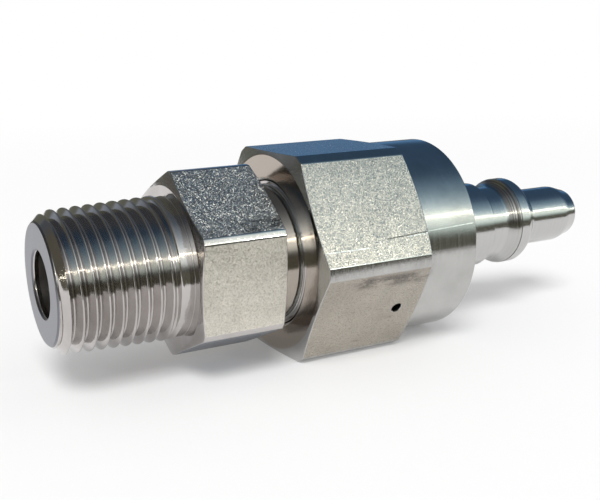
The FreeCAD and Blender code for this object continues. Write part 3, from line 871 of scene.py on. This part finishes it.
def make_floor():
    """White studio paper that keeps the shadow and runs out to plain white."""
    material, tree = bare_material("white studio paper")
    paper = add(tree, "ShaderNodeBsdfDiffuse", [(0.9, 0.9, 0.9, 1)])
    glow = add(tree, "ShaderNodeEmission", [(1, 1, 1, 1), 1.0])
    here = add(tree, "ShaderNodeTexCoord").outputs["Object"]
    here = add(tree, "ShaderNodeMapping",
               {"Vector": here, "Location": (-middle[0], 0, 0), "Scale": (1, 1, 0)})
    away = add(tree, "ShaderNodeVectorMath", [here], operation="LENGTH").outputs["Value"]
    share = add(tree, "ShaderNodeMapRange", [away, 0.05, 0.5, 0.15, 1.0], **smoothly)
    mix = add(tree, "ShaderNodeMixShader", [seen_through_metal(tree, share), paper, glow])
    add(tree, "ShaderNodeOutputMaterial", [mix])
    size = 8.0
    points = [(-size, -size, floor_level), (size, -size, floor_level),
              (size, size, floor_level), (-size, size, floor_level)]
    floor = piece_from("floor", np.array(points), [(0, 1, 2, 3)])
    floor.data.materials.append(material)


def tent_cloth():
    """Glowing cloth whose colour and strength go by its direction from the object.

    turn is the angle round the object's axis, from the horizon in front (0) over the top to the
    one behind (1), and x the share of the direction that points towards the nose.
    """
    material, tree = bare_material("tent cloth")
    here = add(tree, "ShaderNodeTexCoord").outputs["Object"]
    way = add(tree, "ShaderNodeVectorMath", [here], operation="NORMALIZE")
    x, y, z = add(tree, "ShaderNodeSeparateXYZ", [way]).outputs
    ahead = add(tree, "ShaderNodeMath", [y, -1.0], operation="MULTIPLY")
    turn = add(tree, "ShaderNodeMath", [z, ahead], operation="ARCTAN2")
    turn = add(tree, "ShaderNodeMath", [turn, 1 / math.pi], operation="MULTIPLY")

    # The horizon sinks a little beyond the nose.
    sink = add(tree, "ShaderNodeMapRange", [x, 0.62, 0.70, -3 / 180, 2 / 180], **smoothly)
    sunk = add(tree, "ShaderNodeMath", [turn, sink], operation="ADD")
    bands = add(tree, "ShaderNodeValToRGB", [sunk])
    ramp_stops(bands, [(angle / 180, colour(code)) for angle, code in (
        (0, "#46463F"), (4, "#54564F"), (8, "#808A84"), (12, "#B2BFBA"), (18, "#D4DFD8"),
        (24, "#DEE7DC"), (33, "#DCE6E0"), (38, "#BCCDD0"), (45, "#9BAEB6"), (55, "#768B97"),
        (66, "#5C7282"), (80, "#3A4D60"), (95, "#2E4154"), (148, "#2B3E52"), (156, "#3C5B7C"),
        (163, "#4A7096"), (169, "#4D6478"), (174, "#55503F"), (180, "#4A4536"))])

    # The blue fades to grey towards the threaded end, and straight past that end all is dark brown.
    vivid = add(tree, "ShaderNodeMapRange", [x, 0.3, 0.5, 0.3, 1.0], **smoothly)
    light = add(tree, "ShaderNodeMapRange", [x, 0.25, 0.5, 0.85, 1.0], **smoothly)
    sky = add(tree, "ShaderNodeHueSaturation", {"Color": bands, "Saturation": vivid, "Value": light})
    past = add(tree, "ShaderNodeMapRange", [x, -0.75, -0.5, 1.0, 0.0], **smoothly)
    low = add(tree, "ShaderNodeMapRange", [z, 0.75, 0.95, 1.0, 0.0], **smoothly)
    brown = add(tree, "ShaderNodeMath", [past, low], operation="MULTIPLY")
    cloth = add(tree, "ShaderNodeMix", {0: brown, 6: sky, 7: colour("#4A4840")},
                data_type="RGBA").outputs[2]

    # High up behind it is dull, which the tops of the thread, the neck and the hollow flank show.
    left = add(tree, "ShaderNodeMapRange", [x, -0.4, -0.3, 0.0, 1.0], **smoothly)
    right = add(tree, "ShaderNodeMapRange", [x, 0.0, 0.08, 1.0, 0.0], **smoothly)
    dull = add(tree, "ShaderNodeMath", [left, right], operation="MULTIPLY")
    high = add(tree, "ShaderNodeMapRange", [turn, 95 / 180, 105 / 180, 0.0, 1.0], **smoothly)
    dull = add(tree, "ShaderNodeMath", [dull, high], operation="MULTIPLY")
    cloth = add(tree, "ShaderNodeMix", {0: dull, 6: cloth, 7: colour("#55564E")},
                data_type="RGBA").outputs[2]

    # Towards the threaded end the band is brighter: the neck shows it by way of the large hexagon.
    past = add(tree, "ShaderNodeMapRange", [x, -0.35, -0.25, 0.35, 0.0], **smoothly)
    band = add(tree, "ShaderNodeMapRange", [turn, 45 / 180, 75 / 180, 1.0, 0.0], **smoothly)
    extra = add(tree, "ShaderNodeMath", [past, band], operation="MULTIPLY")
    strength = add(tree, "ShaderNodeMath", [extra, 1.0], operation="ADD")
    strength = add(tree, "ShaderNodeMath", [strength, 1.8], operation="MULTIPLY")
    glow = add(tree, "ShaderNodeEmission", [cloth, strength])

    # A narrow bright tube along the band draws the thin highlights. It is dimmer beside the
    # barrel than beside the thread and the nose.
    off = add(tree, "ShaderNodeMath", [turn, 29.5 / 180], operation="SUBTRACT")
    off = add(tree, "ShaderNodeMath", [off], operation="ABSOLUTE")
    tube = add(tree, "ShaderNodeMapRange", [off, 0.3 / 180, 1.0 / 180, 1.0, 0.0], **smoothly)
    by_thread = add(tree, "ShaderNodeMapRange", [x, 0.4, 0.58, 14.0, 3.5], **smoothly)
    by_nose = add(tree, "ShaderNodeMapRange", [x, 0.63, 0.7, 3.5, 12.0], **smoothly)
    power = add(tree, "ShaderNodeMath", [by_thread, by_nose], operation="MAXIMUM")
    power = add(tree, "ShaderNodeMath", [tube, power], operation="MULTIPLY")
    lit = add(tree, "ShaderNodeEmission", [colour("#FFFAE6"), power])
    both = add(tree, "ShaderNodeAddShader", [glow, lit])
    add(tree, "ShaderNodeOutputMaterial", [both])
    return material


def make_tent():
    """Studio tent round the object: dark blue above, a soft bright band low in front."""
    rows, columns, radius = 60, 96, 0.8
    points = []
    for row in range(rows + 1):
        lift = math.radians(-90 + 180 * row / rows)
        for column in range(columns):
            turn = 2 * math.pi * column / columns
            points.append((radius * math.cos(lift) * math.cos(turn),
                           radius * math.cos(lift) * math.sin(turn), radius * math.sin(lift)))
    tent = piece_from("tent", np.array(points), stitch(rows + 1, columns, True))
    tent.data.materials.append(tent_cloth())
    show_in_metal_only(tent)


def make_skirt():
    """Low dark border on the floor in front, which gives the metal its dark horizon."""
    material, tree = bare_material("dark olive cloth")
    glow = add(tree, "ShaderNodeEmission", [colour("#4C4B42"), 1.8])
    add(tree, "ShaderNodeOutputMaterial", [glow])
    top = 0.004
    line = [(-0.5, -0.05), (0.03, -0.057), (0.11, -0.082), (0.19, -0.082), (0.24, -0.04), (0.24, 0.2)]
    points = []
    for x, y in line:
        points.extend([(x, y, floor_level), (x, y, top)])
    faces = [(2 * k, 2 * k + 2, 2 * k + 3, 2 * k + 1) for k in range(len(line) - 1)]
    skirt = piece_from("skirt", np.array(points), faces)
    skirt.data.materials.append(material)
    show_in_metal_only(skirt)


def add_lamp(name, place, size, power, in_metal):
    """Round lamp aimed at the middle of the object."""
    data = bpy.data.lights.new(name, "AREA")
    data.shape = "DISK"
    data.size = size
    data.energy = power
    lamp = bpy.data.objects.new(name, data)
    lamp.location = place
    lamp.rotation_euler = (Vector(place) - Vector(middle)).to_track_quat("Z", "Y").to_euler()
    lamp.visible_glossy = in_metal
    lamp.visible_camera = False
    bpy.context.scene.collection.objects.link(lamp)


make_floor()
make_tent()
make_skirt()
add_lamp("overhead softbox", (-1.8, -3.2, 5.2), 3.2, 275.0, False)
sun_away = 0.7
sun_place = (middle[0] + sun_away * 0.43, -sun_away * 0.79, sun_away * 0.42)
add_lamp("sun side", sun_place, 0.05, 0.35, True)

# The surround is white to look at and lights the object more softly.
world = bpy.data.worlds.new("white surround")
world.use_nodes = True
bpy.context.scene.world = world
tree = world.node_tree
tree.nodes.clear()
seen = seen_through_metal(tree, 1.0)
strength = add(tree, "ShaderNodeMapRange", [seen, 0.0, 1.0, 0.55, 1.0], **smoothly)
backdrop = add(tree, "ShaderNodeBackground", [(1, 1, 1, 1), strength])
add(tree, "ShaderNodeOutputWorld", [backdrop])

# Camera fitted to the photo's outlines: its right, up and backward directions, and its place
camera_data = bpy.data.cameras.new("camera")
camera_data.sensor_width = 36
camera_data.lens = 52.939
camera_data.shift_x = 0.0542
camera_data.shift_y = 0.0827
camera_data.clip_start = 0.01
camera = bpy.data.objects.new("camera", camera_data)
camera.matrix_world = Matrix((
    (0.884909, -0.465272, -0.021398, 0),
    (0.148631, 0.238548, 0.959689, 0),
    (-0.441412, -0.852418, 0.280247, 0),
    (-0.026635, -0.120406, 0.031891, 1))).transposed()
bpy.context.scene.collection.objects.link(camera)
bpy.context.scene.camera = camera
bpy.context.scene.view_settings.view_transform = "Standard"
